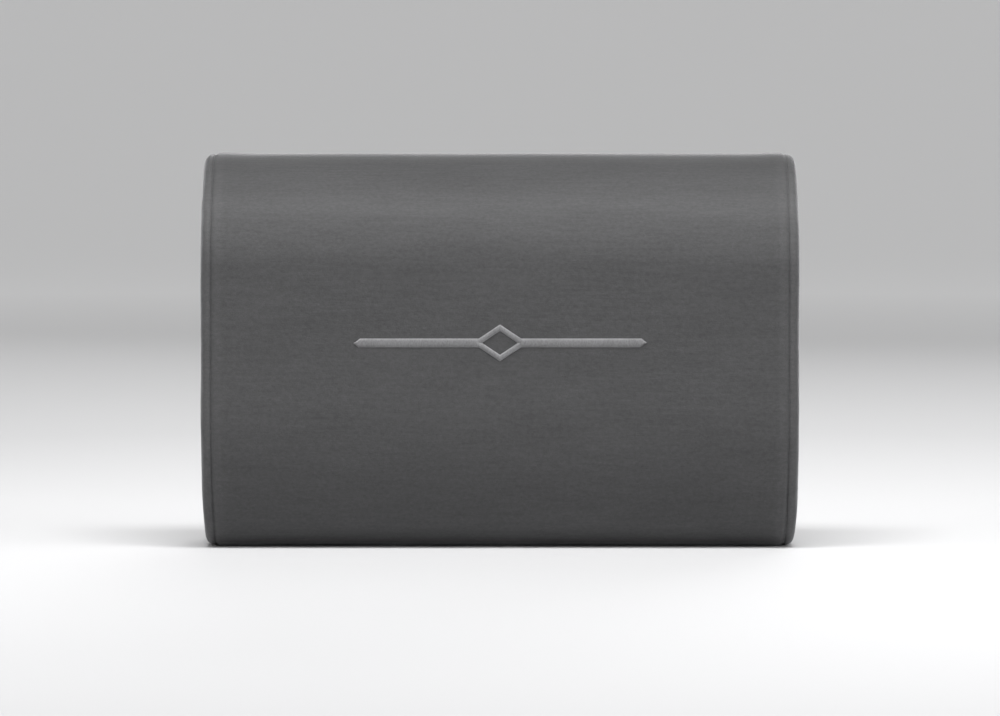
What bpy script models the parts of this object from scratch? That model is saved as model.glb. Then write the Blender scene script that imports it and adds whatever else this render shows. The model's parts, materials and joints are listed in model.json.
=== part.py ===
"""Lumbar support cushion with a zipped cover, a foam core and two buckled straps.

Units are metres. +X is the cushion's width, -Y its front, +Z up. It stands on its flat
base. The origin is at the base, in the middle of the whole object's width and depth.
Profiles across the width are drawn as (u, z): u is the distance in front of the back
panel's outer face, so whatever lies behind that face has a negative u.
"""

import math

import bmesh
import bpy
from mathutils import Matrix, Vector

MM = 0.001
GAP = 0.3 * MM

# Cushion
HEIGHT = 210 * MM
DEPTH = 100 * MM
HALF_WIDTH = 160 * MM
SEAM_X = 153 * MM
FABRIC = 1.6 * MM
LINER = 0.8 * MM

# Profile of the cover: arc radii, and the normals' angles above level where arcs meet
SHOULDER_HEIGHT = 57 * MM
TOP_BACK_RADIUS = 12 * MM
BOTTOM_BACK_RADIUS = 8 * MM
TOE_RADIUS, TOE_TURN = 28 * MM, 70
BELLY_RADIUS, BELLY_TURN = 170 * MM, 20
SHOULDER_RADIUS, SHOULDER_TURN = 38 * MM, 50
SLOPE_RADIUS, SLOPE_TURN = 110 * MM, 13
CROWN_RADIUS, CROWN_TURN = 45 * MM, 27
ARC_STEP = 7.0

# Zip in the back panel
ZIP_Z = 52 * MM
ZIP_HALF = 105 * MM
ZIP_WINDOW_HALF = 114 * MM
ZIP_WINDOW_REACH = 5.5 * MM
ZIP_INNER_ROOM = 5.6 * MM
COIL_RADIUS = 1.2 * MM
COIL_OFFSET = 1.675 * MM
COIL_DEPTH = 2.1 * MM
TAPE_THICKNESS = 0.6 * MM
SLIDER_LENGTH = 12 * MM
SLIDER_WIDTH = 9 * MM
SLIDER_X = 98 * MM
PULL_PIN_HEIGHT = 1.75 * MM
PULL_LENGTH = 20 * MM

# Straps and buckles, placed by height and by distance behind the back panel
STRAP_X = 136 * MM
STRAP_WIDTH = 25 * MM
STRAP_THICKNESS = 1.4 * MM
BUCKLE_DEPTH = 5.6 * MM
SOCKET_THICKNESS = 10 * MM
SOCKET_HALF_WIDTH = 17 * MM
HARDWARE_REACH = BUCKLE_DEPTH + SOCKET_THICKNESS / 2
MOUTH_Z = 60 * MM
ARM_PIVOT = (9.9 * MM, 61.2 * MM)
SOCKET_BAR_Z = 101.7 * MM
ADJUSTER_Z = 140 * MM
ADJUSTER_DEPTH = 5.8 * MM
ADJUSTER_THICKNESS = 2.4 * MM
KEEPER_Z = 182 * MM
EMBLEM_Z = 111 * MM
EMBLEM_THICKNESS = 0.5 * MM

BACK_Y = (DEPTH + GAP + EMBLEM_THICKNESS - HARDWARE_REACH) / 2


# ------------------------------------------------------------------ scene helpers


def clear_scene():
    for thing in list(bpy.data.objects):
        bpy.data.objects.remove(thing, do_unlink=True)


def collection(name):
    made = bpy.data.collections.new(name)
    bpy.context.scene.collection.children.link(made)
    return made


def material(name, color, roughness, metallic=0.0):
    made = bpy.data.materials.new(name)
    made.use_nodes = True
    shader = made.node_tree.nodes["Principled BSDF"]
    shader.inputs["Base Color"].default_value = (*color, 1)
    shader.inputs["Roughness"].default_value = roughness
    shader.inputs["Metallic"].default_value = metallic
    made.diffuse_color = (*color, 1)
    return made


clear_scene()
PARTS = collection("lumbar_support_cushion")
CUTTERS = collection("cutters")

# local x, y, z of a side profile point to -Y, +Z and -X
PROFILE_TURN = Matrix(((0, 0, -1), (-1, 0, 0), (0, 1, 0))).to_euler()
# local x, y, z of a plate seen from the front point to +X, +Z and -Y
PLATE_TURN = (math.radians(90), 0, 0)

VELOUR = dict(color=(0.095, 0.095, 0.096), roughness=0.9)
LINING = dict(color=(0.62, 0.61, 0.59), roughness=0.95)
FOAM = dict(color=(0.80, 0.74, 0.55), roughness=1.0)
ZIP_TAPE = dict(color=(0.035, 0.035, 0.036), roughness=0.85)
ZIP_COIL = dict(color=(0.03, 0.03, 0.031), roughness=0.45)
ZIP_METAL = dict(color=(0.16, 0.16, 0.17), roughness=0.35, metallic=1.0)
WEBBING = dict(color=(0.022, 0.022, 0.023), roughness=0.8)
BUCKLE = dict(color=(0.018, 0.018, 0.019), roughness=0.5)
THREAD = dict(color=(0.20, 0.20, 0.205), roughness=0.6)
LABEL = dict(color=(0.55, 0.55, 0.54), roughness=0.9)


def finish(piece, name, look):
    """Names a piece, gives it its own material and puts it with the parts."""
    piece.name = name
    piece.data.name = name
    piece.data.materials.append(material(name, **look))
    if piece.name not in PARTS.objects:
        PARTS.objects.link(piece)
    return piece


def cutter(piece, name):
    piece.name = name
    piece.hide_render = True
    piece.display_type = "WIRE"
    CUTTERS.objects.link(piece)
    return piece


# ------------------------------------------------------------------ shape helpers


def flat_curve(name, loops, half, closed=True):
    """A 2D curve of straight-sided loops with its extrusion; open loops give a ribbon."""
    data = bpy.data.curves.new(name, "CURVE")
    data.dimensions = "2D"
    data.fill_mode = "BOTH" if closed else "NONE"
    data.extrude = half
    for loop in loops:
        spline = data.splines.new("POLY")
        spline.points.add(len(loop) - 1)
        for point, (a, b) in zip(spline.points, loop):
            point.co = (a, b, 0, 1)
        spline.use_cyclic_u = closed
    return bpy.data.objects.new(name, data)


def as_mesh(curve_object):
    """The curve as a mesh object with welded caps, in the same place."""
    CUTTERS.objects.link(curve_object)
    bpy.context.view_layer.update()
    graph = bpy.context.evaluated_depsgraph_get()
    mesh = bpy.data.meshes.new_from_object(curve_object.evaluated_get(graph))
    weld_mesh(mesh)
    made = bpy.data.objects.new(curve_object.name, mesh)
    made.matrix_world = curve_object.matrix_world.copy()
    bpy.data.objects.remove(curve_object, do_unlink=True)
    return made


def weld_mesh(mesh):
    work = bmesh.new()
    work.from_mesh(mesh)
    bmesh.ops.remove_doubles(work, verts=work.verts, dist=1e-6)
    bmesh.ops.recalc_face_normals(work, faces=work.faces)
    work.to_mesh(mesh)
    work.free()


def box(name, low, high):
    """A box between two corners, as a mesh object with its scale applied."""
    low, high = Vector(low), Vector(high)
    mesh = bpy.data.meshes.new(name)
    work = bmesh.new()
    bmesh.ops.create_cube(work, size=1)
    bmesh.ops.scale(work, vec=high - low, verts=work.verts)
    bmesh.ops.translate(work, vec=(low + high) / 2, verts=work.verts)
    work.to_mesh(mesh)
    work.free()
    return bpy.data.objects.new(name, mesh)


def plate(name, loops, depth, thickness, x=0.0):
    """A flat outline of (x, z) points facing the back, its middle `depth` behind the panel."""
    made = flat_curve(name, loops, thickness / 2)
    made.rotation_euler = PLATE_TURN
    made.location = (x, BACK_Y + depth, 0)
    return made


def profile_solid(name, loop, half):
    """A closed (u, z) profile carried `half` to each side."""
    made = flat_curve(name, [loop], half)
    made.rotation_euler = PROFILE_TURN
    made.location = (0, BACK_Y, 0)
    return made


def ribbon(name, path, width, thickness, x=0.0, offset=0.0):
    """A strip of cloth along an open (u, z) path."""
    made = flat_curve(name, [path], width / 2, closed=False)
    made.rotation_euler = PROFILE_TURN
    made.location = (x, BACK_Y, 0)
    made = as_mesh(made)
    solidify(made, thickness, offset)
    return made


def solidify(piece, thickness, offset):
    skin = piece.modifiers.new("thickness", "SOLIDIFY")
    skin.thickness = thickness
    skin.offset = offset
    skin.use_even_offset = True


def bevel(piece, width, segments=1):
    edge = piece.modifiers.new("bevel", "BEVEL")
    edge.width = width
    edge.segments = segments
    edge.limit_method = "ANGLE"
    edge.angle_limit = math.radians(40)


def boolean(piece, other, operation):
    cutter(other, f"{piece.name}_{operation.lower()}_{len(piece.modifiers)}")
    change = piece.modifiers.new(operation.lower(), "BOOLEAN")
    change.operation = operation
    change.object = other


def rectangle(x0, z0, x1, z1):
    return [(x0, z0), (x1, z0), (x1, z1), (x0, z1)]


def rounded_path(corners, radius, steps=4, closed=False):
    """Corner points with each corner replaced by a small arc of the given radius."""
    count = len(corners)
    path = []
    for n, corner in enumerate(corners):
        at_end = n in (0, count - 1) and not closed
        here = Vector(corner)
        if at_end:
            path.append(tuple(here))
            continue
        before = (Vector(corners[n - 1]) - here).normalized()
        after = (Vector(corners[(n + 1) % count]) - here).normalized()
        half_angle = before.angle(after) / 2
        if half_angle > math.radians(89):
            path.append(tuple(here))
            continue
        middle = here + (before + after).normalized() * (radius / math.sin(half_angle))
        first = here + before * (radius / math.tan(half_angle)) - middle
        last = here + after * (radius / math.tan(half_angle)) - middle
        turn = first.angle_signed(last)
        for k in range(steps + 1):
            path.append(tuple(middle + turned(first, turn * k / steps)))
    return path


def turned(vector, angle):
    """A 2D vector turned clockwise by an angle, as angle_signed counts."""
    cosine, sine = math.cos(angle), math.sin(angle)
    return Vector((cosine * vector.x + sine * vector.y, cosine * vector.y - sine * vector.x))


def offset_path(corners, distance):
    """An open path moved sideways, to the left of its direction, with mitred corners."""
    moved = []
    for n, corner in enumerate(corners):
        here = Vector(corner)
        sides = []
        if n > 0:
            sides.append((here - Vector(corners[n - 1])).normalized())
        if n < len(corners) - 1:
            sides.append((Vector(corners[n + 1]) - here).normalized())
        normals = [Vector((-side.y, side.x)) for side in sides]
        mean = sum(normals, Vector((0, 0))).normalized()
        moved.append(tuple(here + mean * (distance / mean.dot(normals[0]))))
    return moved


# ------------------------------------------------------------------ cover profile


def cover_moves():
    """The cover's outline as straight runs and arcs, anticlockwise from the base's back."""

    def rise(radius, start, turn):
        return radius * (math.sin(math.radians(start + turn)) - math.sin(math.radians(start)))

    def run(radius, start, turn):
        return radius * (math.cos(math.radians(start)) - math.cos(math.radians(start + turn)))

    toe = (TOE_RADIUS, -90, TOE_TURN)
    belly = (BELLY_RADIUS, -90 + TOE_TURN, BELLY_TURN)
    shoulder = (SHOULDER_RADIUS, 0, SHOULDER_TURN)
    slope = (SLOPE_RADIUS, SHOULDER_TURN, SLOPE_TURN)
    crown = (CROWN_RADIUS, SHOULDER_TURN + SLOPE_TURN, CROWN_TURN)
    upper = (shoulder, slope, crown)
    flank_rise = SHOULDER_HEIGHT - sum(rise(*arc) for arc in upper)
    flank = flank_rise / math.cos(math.radians(SHOULDER_TURN))
    flank_run = flank_rise * math.tan(math.radians(SHOULDER_TURN))
    front = HEIGHT - SHOULDER_HEIGHT - rise(*toe) - rise(*belly)
    base = DEPTH - BOTTOM_BACK_RADIUS + run(*toe) + run(*belly)
    top = DEPTH - TOP_BACK_RADIUS - flank_run - sum(run(*arc) for arc in upper)
    back = HEIGHT - TOP_BACK_RADIUS - BOTTOM_BACK_RADIUS
    return base, front, flank, top, back


def outline(inset=0.0, room=None):
    """Points of the cover's outline, moved inwards by `inset`, its back `room` in from the panel."""
    room = inset if room is None else room
    base, front, flank, top, back = cover_moves()
    extra = room - inset
    moves = [
        (None, base - extra),
        (TOE_RADIUS, TOE_TURN),
        (BELLY_RADIUS, BELLY_TURN),
        (None, front),
        (SHOULDER_RADIUS, SHOULDER_TURN),
        (None, flank),
        (SLOPE_RADIUS, SLOPE_TURN),
        (CROWN_RADIUS, CROWN_TURN),
        (None, top - extra),
        (TOP_BACK_RADIUS, 90),
        (None, back),
        (BOTTOM_BACK_RADIUS, 90),
    ]
    here = Vector((BOTTOM_BACK_RADIUS + extra, inset))
    heading = 0.0
    points = [tuple(here)]
    for radius, amount in moves:
        if radius is None:
            here = here + amount * direction(heading)
            points.append(tuple(here))
            continue
        centre = here + (radius - inset) * direction(heading + 90)
        steps = max(2, math.ceil(amount / ARC_STEP))
        for k in range(1, steps + 1):
            angle = heading + amount * k / steps
            here = centre - (radius - inset) * direction(angle + 90)
            points.append(tuple(here))
        heading += amount
    return points[:-1]


def direction(degrees):
    return Vector((math.cos(math.radians(degrees)), math.sin(math.radians(degrees))))


def wrap_path():
    """The outline from the bottom back seam, round the front, to the top back seam."""
    points = outline()
    corner_steps = max(2, math.ceil(90 / ARC_STEP))
    first = points[-corner_steps:]
    return first + points[: len(points) - corner_steps]


# ------------------------------------------------------------------ cover and filling


def front_panel():
    panel = ribbon("cover_front_panel", wrap_path(), 2 * SEAM_X, FABRIC, offset=-1.0)
    panel.data.shade_smooth()
    panel.data.set_sharp_from_angle(angle=math.radians(30))
    return finish(panel, "cover_front_panel", VELOUR)


def side_gusset(name, side):
    """A domed end panel: rings of the outline that shrink towards its middle.

    The rings run anticlockwise seen from -X, so the right-hand panel's faces are turned round.
    """
    rim = outline()
    middle = Vector((DEPTH * 0.46, HEIGHT * 0.48))
    rim_x = SEAM_X + GAP + FABRIC
    dome = HALF_WIDTH - rim_x
    work = bmesh.new()
    rings = []
    for share in (1.0, 0.965, 0.9, 0.78, 0.6, 0.35):
        ring = []
        for point in rim:
            u, z = middle + (Vector(point) - middle) * share
            x = rim_x + dome * math.sqrt(1 - share * share)
            ring.append(work.verts.new((side * x, BACK_Y - u, z)))
        rings.append(ring)
    centre = work.verts.new((side * HALF_WIDTH, BACK_Y - middle.x, middle.y))
    for outer, inner in zip(rings, rings[1:]):
        for n in range(len(rim)):
            m = (n + 1) % len(rim)
            work.faces.new((outer[n], outer[m], inner[m], inner[n]))
    for n in range(len(rim)):
        work.faces.new((rings[-1][n], rings[-1][(n + 1) % len(rim)], centre))
    if side > 0:
        bmesh.ops.reverse_faces(work, faces=work.faces)
    mesh = bpy.data.meshes.new(name)
    work.to_mesh(mesh)
    work.free()
    mesh.shade_smooth()
    panel = bpy.data.objects.new(name, mesh)
    solidify(panel, FABRIC, -1.0)
    return finish(panel, name, VELOUR)


def back_panel(name, low, high, notch_low):
    """Half of the back, with a notch along the zip's window on its lower or upper edge."""
    side = SEAM_X
    if notch_low:
        seam, notch, far = low + 0.2 * MM, low + ZIP_WINDOW_REACH, high
    else:
        seam, notch, far = high - 0.2 * MM, high - ZIP_WINDOW_REACH, low
    loop = [
        (-side, far),
        (-side, seam),
        (-ZIP_WINDOW_HALF, seam),
        (-ZIP_WINDOW_HALF, notch),
        (ZIP_WINDOW_HALF, notch),
        (ZIP_WINDOW_HALF, seam),
        (side, seam),
        (side, far),
    ]
    return finish(plate(name, [loop], -FABRIC / 2, FABRIC), name, VELOUR)


def liner():
    loop = outline(FABRIC + 0.4 * MM, ZIP_INNER_ROOM)
    bag = as_mesh(profile_solid("inner_liner", loop, SEAM_X - 0.5 * MM))
    solidify(bag, LINER, -1.0)
    slit = box(
        "slit",
        (-ZIP_HALF, BACK_Y - ZIP_INNER_ROOM - 2 * LINER, ZIP_Z - 3 * MM),
        (ZIP_HALF, BACK_Y - ZIP_INNER_ROOM + LINER, ZIP_Z + 3 * MM),
    )
    boolean(bag, slit, "DIFFERENCE")
    return finish(bag, "inner_liner", LINING)


def foam_core():
    inset = FABRIC + 0.4 * MM + LINER + 0.5 * MM
    room = ZIP_INNER_ROOM + LINER + 0.5 * MM
    core = profile_solid("foam_core", outline(inset, room), SEAM_X - 2 * MM)
    return finish(core, "foam_core", FOAM)


def emblem():
    """A lozenge with a bar on each side, stitched in relief on the front."""
    depth = -(DEPTH + GAP + EMBLEM_THICKNESS / 2)
    half_width, half_height = 15 * MM, 10 * MM
    bar_half, bar_end = 2.6 * MM, 78 * MM
    join = half_width * (1 - bar_half / half_height)
    quarter = [(0, half_height), (join, bar_half), (bar_end - bar_half, bar_half), (bar_end, 0)]
    right = quarter + [(x, -z) for x, z in reversed(quarter[:-1])]
    left = [(-x, -z) for x, z in right[1:-1]]
    shape = [(x, z + EMBLEM_Z) for x, z in right + left]
    hole = [(x, z + EMBLEM_Z) for x, z in ((9.5 * MM, 0), (0, 6.3 * MM), (-9.5 * MM, 0), (0, -6.3 * MM))]
    mark = plate("front_emblem", [shape, hole], depth, EMBLEM_THICKNESS)
    return finish(mark, "front_emblem", THREAD)


def care_label():
    loop = rectangle(-24 * MM, 14 * MM, 24 * MM, 38 * MM)
    tag = plate("care_label", [loop], GAP + 0.2 * MM, 0.4 * MM)
    return finish(tag, "care_label", LABEL)


# ------------------------------------------------------------------ zip


def zipper_tape(name, side):
    near, far = ZIP_Z + side * 3.2 * MM, ZIP_Z + side * 16 * MM
    loop = rectangle(-ZIP_WINDOW_HALF + 2 * MM, min(near, far), ZIP_WINDOW_HALF - 2 * MM, max(near, far))
    return finish(plate(name, [loop], -2.2 * MM, TAPE_THICKNESS), name, ZIP_TAPE)


def zipper_coil(name, side):
    """One row of the nylon coil, as the round bar that its turns fill."""
    data = bpy.data.curves.new(name, "CURVE")
    data.dimensions = "3D"
    data.bevel_depth = COIL_RADIUS
    data.bevel_resolution = 2
    data.use_fill_caps = True
    spline = data.splines.new("POLY")
    spline.points.add(1)
    y, z = BACK_Y - COIL_DEPTH, ZIP_Z + side * COIL_OFFSET
    for point, x in zip(spline.points, (-ZIP_HALF, ZIP_HALF)):
        point.co = (x, y, z, 1)
    return finish(bpy.data.objects.new(name, data), name, ZIP_COIL)


def zipper_stop(name, low, high, closed_end):
    """A metal clamp at one end of the coils."""
    start, end = ZIP_HALF + GAP, ZIP_HALF + 3 * MM
    x0, x1 = (start, end) if closed_end else (-end, -start)
    loop = rectangle(x0, ZIP_Z + low * MM, x1, ZIP_Z + high * MM)
    return finish(plate(name, [loop], -COIL_DEPTH, 2.8 * MM), name, ZIP_METAL)


def zipper_slider():
    """A block with a channel for the coils and slots for the tapes, a post and a bail."""
    half_x, half_z = SLIDER_LENGTH / 2, SLIDER_WIDTH / 2
    back, front = BACK_Y + 0.9 * MM, BACK_Y - 5.1 * MM
    origin = Vector((SLIDER_X, BACK_Y, ZIP_Z))

    def local_box(name, x, y, z):
        low = Vector((x[0], min(y), z[0])) - Vector((0, BACK_Y, 0))
        high = Vector((x[1], max(y), z[1])) - Vector((0, BACK_Y, 0))
        made = box(name, low, high)
        made.location = origin
        return made

    body = local_box("zipper_slider", (-half_x, half_x), (front, back), (-half_z, half_z))
    bevel(body, 0.5 * MM)
    channel = (BACK_Y - 3.9 * MM, BACK_Y - 0.3 * MM)
    slots = (BACK_Y - 2.8 * MM, BACK_Y - 1.6 * MM)
    long_x = (-SLIDER_LENGTH, SLIDER_LENGTH)
    boolean(body, local_box("channel", long_x, channel, (-3.2 * MM, 3.2 * MM)), "DIFFERENCE")
    boolean(body, local_box("slots", long_x, slots, (-2 * half_z, 2 * half_z)), "DIFFERENCE")
    post = (BACK_Y - 4.3 * MM, BACK_Y + 0.2 * MM)
    boolean(body, local_box("post", (1.5 * MM, 5 * MM), post, (-0.22 * MM, 0.22 * MM)), "UNION")
    boolean(body, slider_bail(origin), "UNION")
    return finish(body, "zipper_slider", ZIP_METAL)


def slider_bail(origin):
    """The arch on the slider that holds the pull tab, drawn along the slider."""
    foot, under, over = -0.6 * MM, -2.6 * MM, -3.4 * MM
    outer, inner = 4.8 * MM, 3.8 * MM
    loop = [
        (-outer, foot),
        (-outer, over + 0.8 * MM),
        (-outer + 0.8 * MM, over),
        (outer - 0.8 * MM, over),
        (outer, over + 0.8 * MM),
        (outer, foot),
        (inner, foot),
        (inner, under),
        (-inner, under),
        (-inner, foot),
    ]
    arch = flat_curve("bail", [loop], 1.2 * MM)
    # drawn in the XY plane with its top towards -y, so half a turn about X sets it upright
    arch.rotation_euler = (math.radians(180), 0, 0)
    arch.location = origin
    return as_mesh(arch)


def pull_tab():
    """A flat tab whose end bar lies under the bail; it points to -X at rest."""
    bar, eye = 0.55 * MM, 5.6 * MM
    wide, narrow = 3.2 * MM, 2.6 * MM
    shape = rounded_path(
        [
            (bar, -wide),
            (bar, wide),
            (-7 * MM, wide),
            (-9 * MM, narrow),
            (-PULL_LENGTH, wide),
            (-PULL_LENGTH, -wide),
            (-9 * MM, -narrow),
            (-7 * MM, -wide),
        ],
        0.5 * MM,
        2,
        closed=True,
    )
    holes = [
        rectangle(-eye, -1.7 * MM, -bar, 1.7 * MM),
        rectangle(-PULL_LENGTH + 2.5 * MM, -1.2 * MM, -PULL_LENGTH + 6.5 * MM, 1.2 * MM),
    ]
    tab = flat_curve("zipper_pull_tab", [shape, *holes], 0.55 * MM)
    tab.rotation_euler = PLATE_TURN
    tab.location = (SLIDER_X, BACK_Y + PULL_PIN_HEIGHT, ZIP_Z)
    return finish(tab, "zipper_pull_tab", ZIP_METAL)


# ------------------------------------------------------------------ straps and buckles


def behind(points):
    """(distance behind the panel, height) in millimetres, as (u, z) profile points."""
    return [(-depth * MM, z * MM) for depth, z in points]


def lower_strap(name, x):
    """Short webbing from the bottom seam, round the plug's bar and back on itself."""
    near, far, over = 2.35, 8.85, 44.6
    corners = [(1.1, 8.6), (1.1, 31), (near, 36), (near, over)]
    corners += [(far, over), (far, 36.5), (2.9, 30), (2.9, 13)]
    path = rounded_path(behind(corners), 1.5 * MM)
    strap = ribbon(name, path, STRAP_WIDTH, STRAP_THICKNESS, x)
    return finish(strap, name, WEBBING)


def threaded_middle():
    """Middle line of the doubled elastic through the adjuster, from above it to below it."""
    under, over = 2.75, 8.85
    slot, reach = 4.6, 1.76
    z = ADJUSTER_Z / MM
    return [
        (under, 190),
        (under, z + slot + reach),
        (over, z + slot - reach),
        (over, z - slot + reach),
        (under, z - slot - reach),
        (under, 112),
    ]


def upper_strap(name, x):
    """Elastic from the top seam through the adjuster, round the socket's bar and back up."""
    half_pitch = 0.85
    middle = threaded_middle()
    inner = offset_path(middle, -half_pitch)
    outer = offset_path(middle, half_pitch)
    bar = SOCKET_BAR_Z / MM
    near, far, under = 2.6, 8.6, bar - 2.75
    corners = [(1.05, 197.2), (1.05, 193.5), *inner]
    corners += [(near, bar + 4.5), (near, under), (far, under), (far, bar + 4.5)]
    corners += [*reversed(outer)]
    path = rounded_path(behind(corners), 1.3 * MM)
    strap = ribbon(name, path, STRAP_WIDTH, STRAP_THICKNESS, x)
    return finish(strap, name, WEBBING)


def strap_keeper(name, x):
    """A flat elastic loop round both layers of the strap."""
    half = STRAP_WIDTH / 2 + 0.4 * MM
    wall = 0.7 * MM
    low, high = KEEPER_Z - 4 * MM, KEEPER_Z + 4 * MM
    near, far = BACK_Y + 0.3 * MM, BACK_Y + 5.3 * MM
    band = box(name, (x - half - wall, near, low), (x + half + wall, far, high))
    hole = box("hole", (x - half, near + wall, low - 1 * MM), (x + half, far - wall, high + 1 * MM))
    boolean(band, hole, "DIFFERENCE")
    return finish(band, name, WEBBING)


def strap_adjuster(name, x):
    """A slide with three bars, which the doubled elastic is threaded through."""
    half, z = 16.5 * MM, ADJUSTER_Z
    slot_half, slot_low, slot_high = 13.3 * MM, 1.4 * MM, 7.8 * MM
    loops = [
        rounded_path(rectangle(-half, z - 10.4 * MM, half, z + 10.4 * MM), 1.5 * MM, 3, closed=True),
        rectangle(-slot_half, z + slot_low, slot_half, z + slot_high),
        rectangle(-slot_half, z - slot_high, slot_half, z - slot_low),
    ]
    frame = as_mesh(plate(name, loops, ADJUSTER_DEPTH, ADJUSTER_THICKNESS, x))
    bevel(frame, 0.4 * MM)
    return finish(frame, name, BUCKLE)


def buckle_socket(name, x):
    """The buckle's hollow half: cavity, side windows for the arms, and a strap bar."""
    y = BACK_Y + BUCKLE_DEPTH
    half, thick = SOCKET_HALF_WIDTH, SOCKET_THICKNESS / 2
    top, slot = SOCKET_BAR_Z + 1.7 * MM, (94 * MM, 100 * MM)
    shell = box(name, (x - half, y - thick, MOUTH_Z + GAP), (x + half, y + thick, top))
    bevel(shell, 1.6 * MM, 2)
    cuts = {
        "cavity": ((14, 3.2), (MOUTH_Z - 2 * MM, 89 * MM)),
        "windows": ((20, 2.8), (72 * MM, 84 * MM)),
        "strap_slot": ((13.3, 8), slot),
    }
    for label, cut in cuts.items():
        (reach, depth), (low, high) = cut
        corner_low = (x - reach * MM, y - depth * MM, low)
        corner_high = (x + reach * MM, y + depth * MM, high)
        boolean(shell, box(label, corner_low, corner_high), "DIFFERENCE")
    for label, near, far in (("thin_back", 2, 8), ("thin_front", -8, -2)):
        corner_low = (x - 13.3 * MM, y + near * MM, slot[0] + 1 * MM)
        corner_high = (x + 13.3 * MM, y + far * MM, top + 2 * MM)
        boolean(shell, box(label, corner_low, corner_high), "DIFFERENCE")
    return finish(shell, name, BUCKLE)


def buckle_plug(name, x):
    """The buckle's other half: strap frame, base block and centre tongue."""
    frame = [
        (-17, 41),
        (-16.5, 40.5),
        (16.5, 40.5),
        (17, 41),
        (17, 58),
        (12, 59.7),
        (3, 59.7),
        (2.2, 62),
        (2.2, 78),
        (1.2, 80),
        (-1.2, 80),
        (-2.2, 78),
        (-2.2, 62),
        (-3, 59.7),
        (-12, 59.7),
        (-17, 58),
    ]
    loops = [[(a * MM, b * MM) for a, b in frame], rectangle(-13.3 * MM, 43.5 * MM, 13.3 * MM, 50 * MM)]
    body = as_mesh(plate(name, loops, BUCKLE_DEPTH, 4.4 * MM, x))
    bevel(body, 0.5 * MM)
    y = BACK_Y + BUCKLE_DEPTH
    block = box("base", (x - 16.7 * MM, y - 4.6 * MM, 52 * MM), (x + 16.7 * MM, y + 4.6 * MM, 59 * MM))
    bevel(block, 1.4 * MM, 2)
    boolean(body, block, "UNION")
    return finish(body, name, BUCKLE)


def buckle_arm(name, x, side):
    """A spring arm with a pad that fills the socket's window; its origin is its pivot."""
    corners = [
        (8.6, 60.2),
        (11.2, 60.2),
        (12.6, 66),
        (13.3, 72.9),
        (16.6, 73.1),
        (16.8, 77),
        (16.3, 80.4),
        (13.4, 83.6),
        (12.3, 86.4),
        (11.2, 87),
        (9.4, 86),
        (8.7, 80),
    ]
    pivot_x, pivot_z = ARM_PIVOT
    loop = [(side * (a * MM - pivot_x), b * MM - pivot_z) for a, b in corners]
    arm = flat_curve(name, [loop], 2.4 * MM)
    arm.rotation_euler = PLATE_TURN
    arm.location = (x + side * pivot_x, BACK_Y + BUCKLE_DEPTH, pivot_z)
    arm = as_mesh(arm)
    bevel(arm, 0.4 * MM)
    return finish(arm, name, BUCKLE)


def strap_set(label, side):
    x = side * STRAP_X
    upper_strap(f"upper_strap_{label}", x)
    lower_strap(f"lower_strap_{label}", x)
    strap_keeper(f"strap_keeper_{label}", x)
    strap_adjuster(f"strap_adjuster_{label}", x)
    buckle_socket(f"buckle_socket_{label}", x)
    buckle_plug(f"buckle_plug_{label}", x)
    buckle_arm(f"buckle_arm_outer_{label}", x, side)
    buckle_arm(f"buckle_arm_inner_{label}", x, -side)


# ------------------------------------------------------------------ the cushion


def build():
    front_panel()
    side_gusset("cover_gusset_left", -1)
    side_gusset("cover_gusset_right", 1)
    back_top = HEIGHT - TOP_BACK_RADIUS - GAP
    back_panel("cover_back_upper", ZIP_Z, back_top, notch_low=True)
    back_panel("cover_back_lower", BOTTOM_BACK_RADIUS + GAP, ZIP_Z, notch_low=False)
    liner()
    foam_core()
    emblem()
    care_label()
    zipper_tape("zipper_tape_upper", 1)
    zipper_tape("zipper_tape_lower", -1)
    zipper_coil("zipper_coil_upper", 1)
    zipper_coil("zipper_coil_lower", -1)
    zipper_stop("zipper_top_stop_upper", 0.3, 2.9, closed_end=True)
    zipper_stop("zipper_top_stop_lower", -2.9, -0.3, closed_end=True)
    zipper_stop("zipper_bottom_stop", -2.9, 2.9, closed_end=False)
    zipper_slider()
    pull_tab()
    strap_set("left", -1)
    strap_set("right", 1)


build()
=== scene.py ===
"""Looks of the lumbar support cushion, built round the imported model."""

import json
import math

import bmesh
import bpy
import numpy as np
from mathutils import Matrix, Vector, noise
from mathutils.bvhtree import BVHTree

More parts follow.
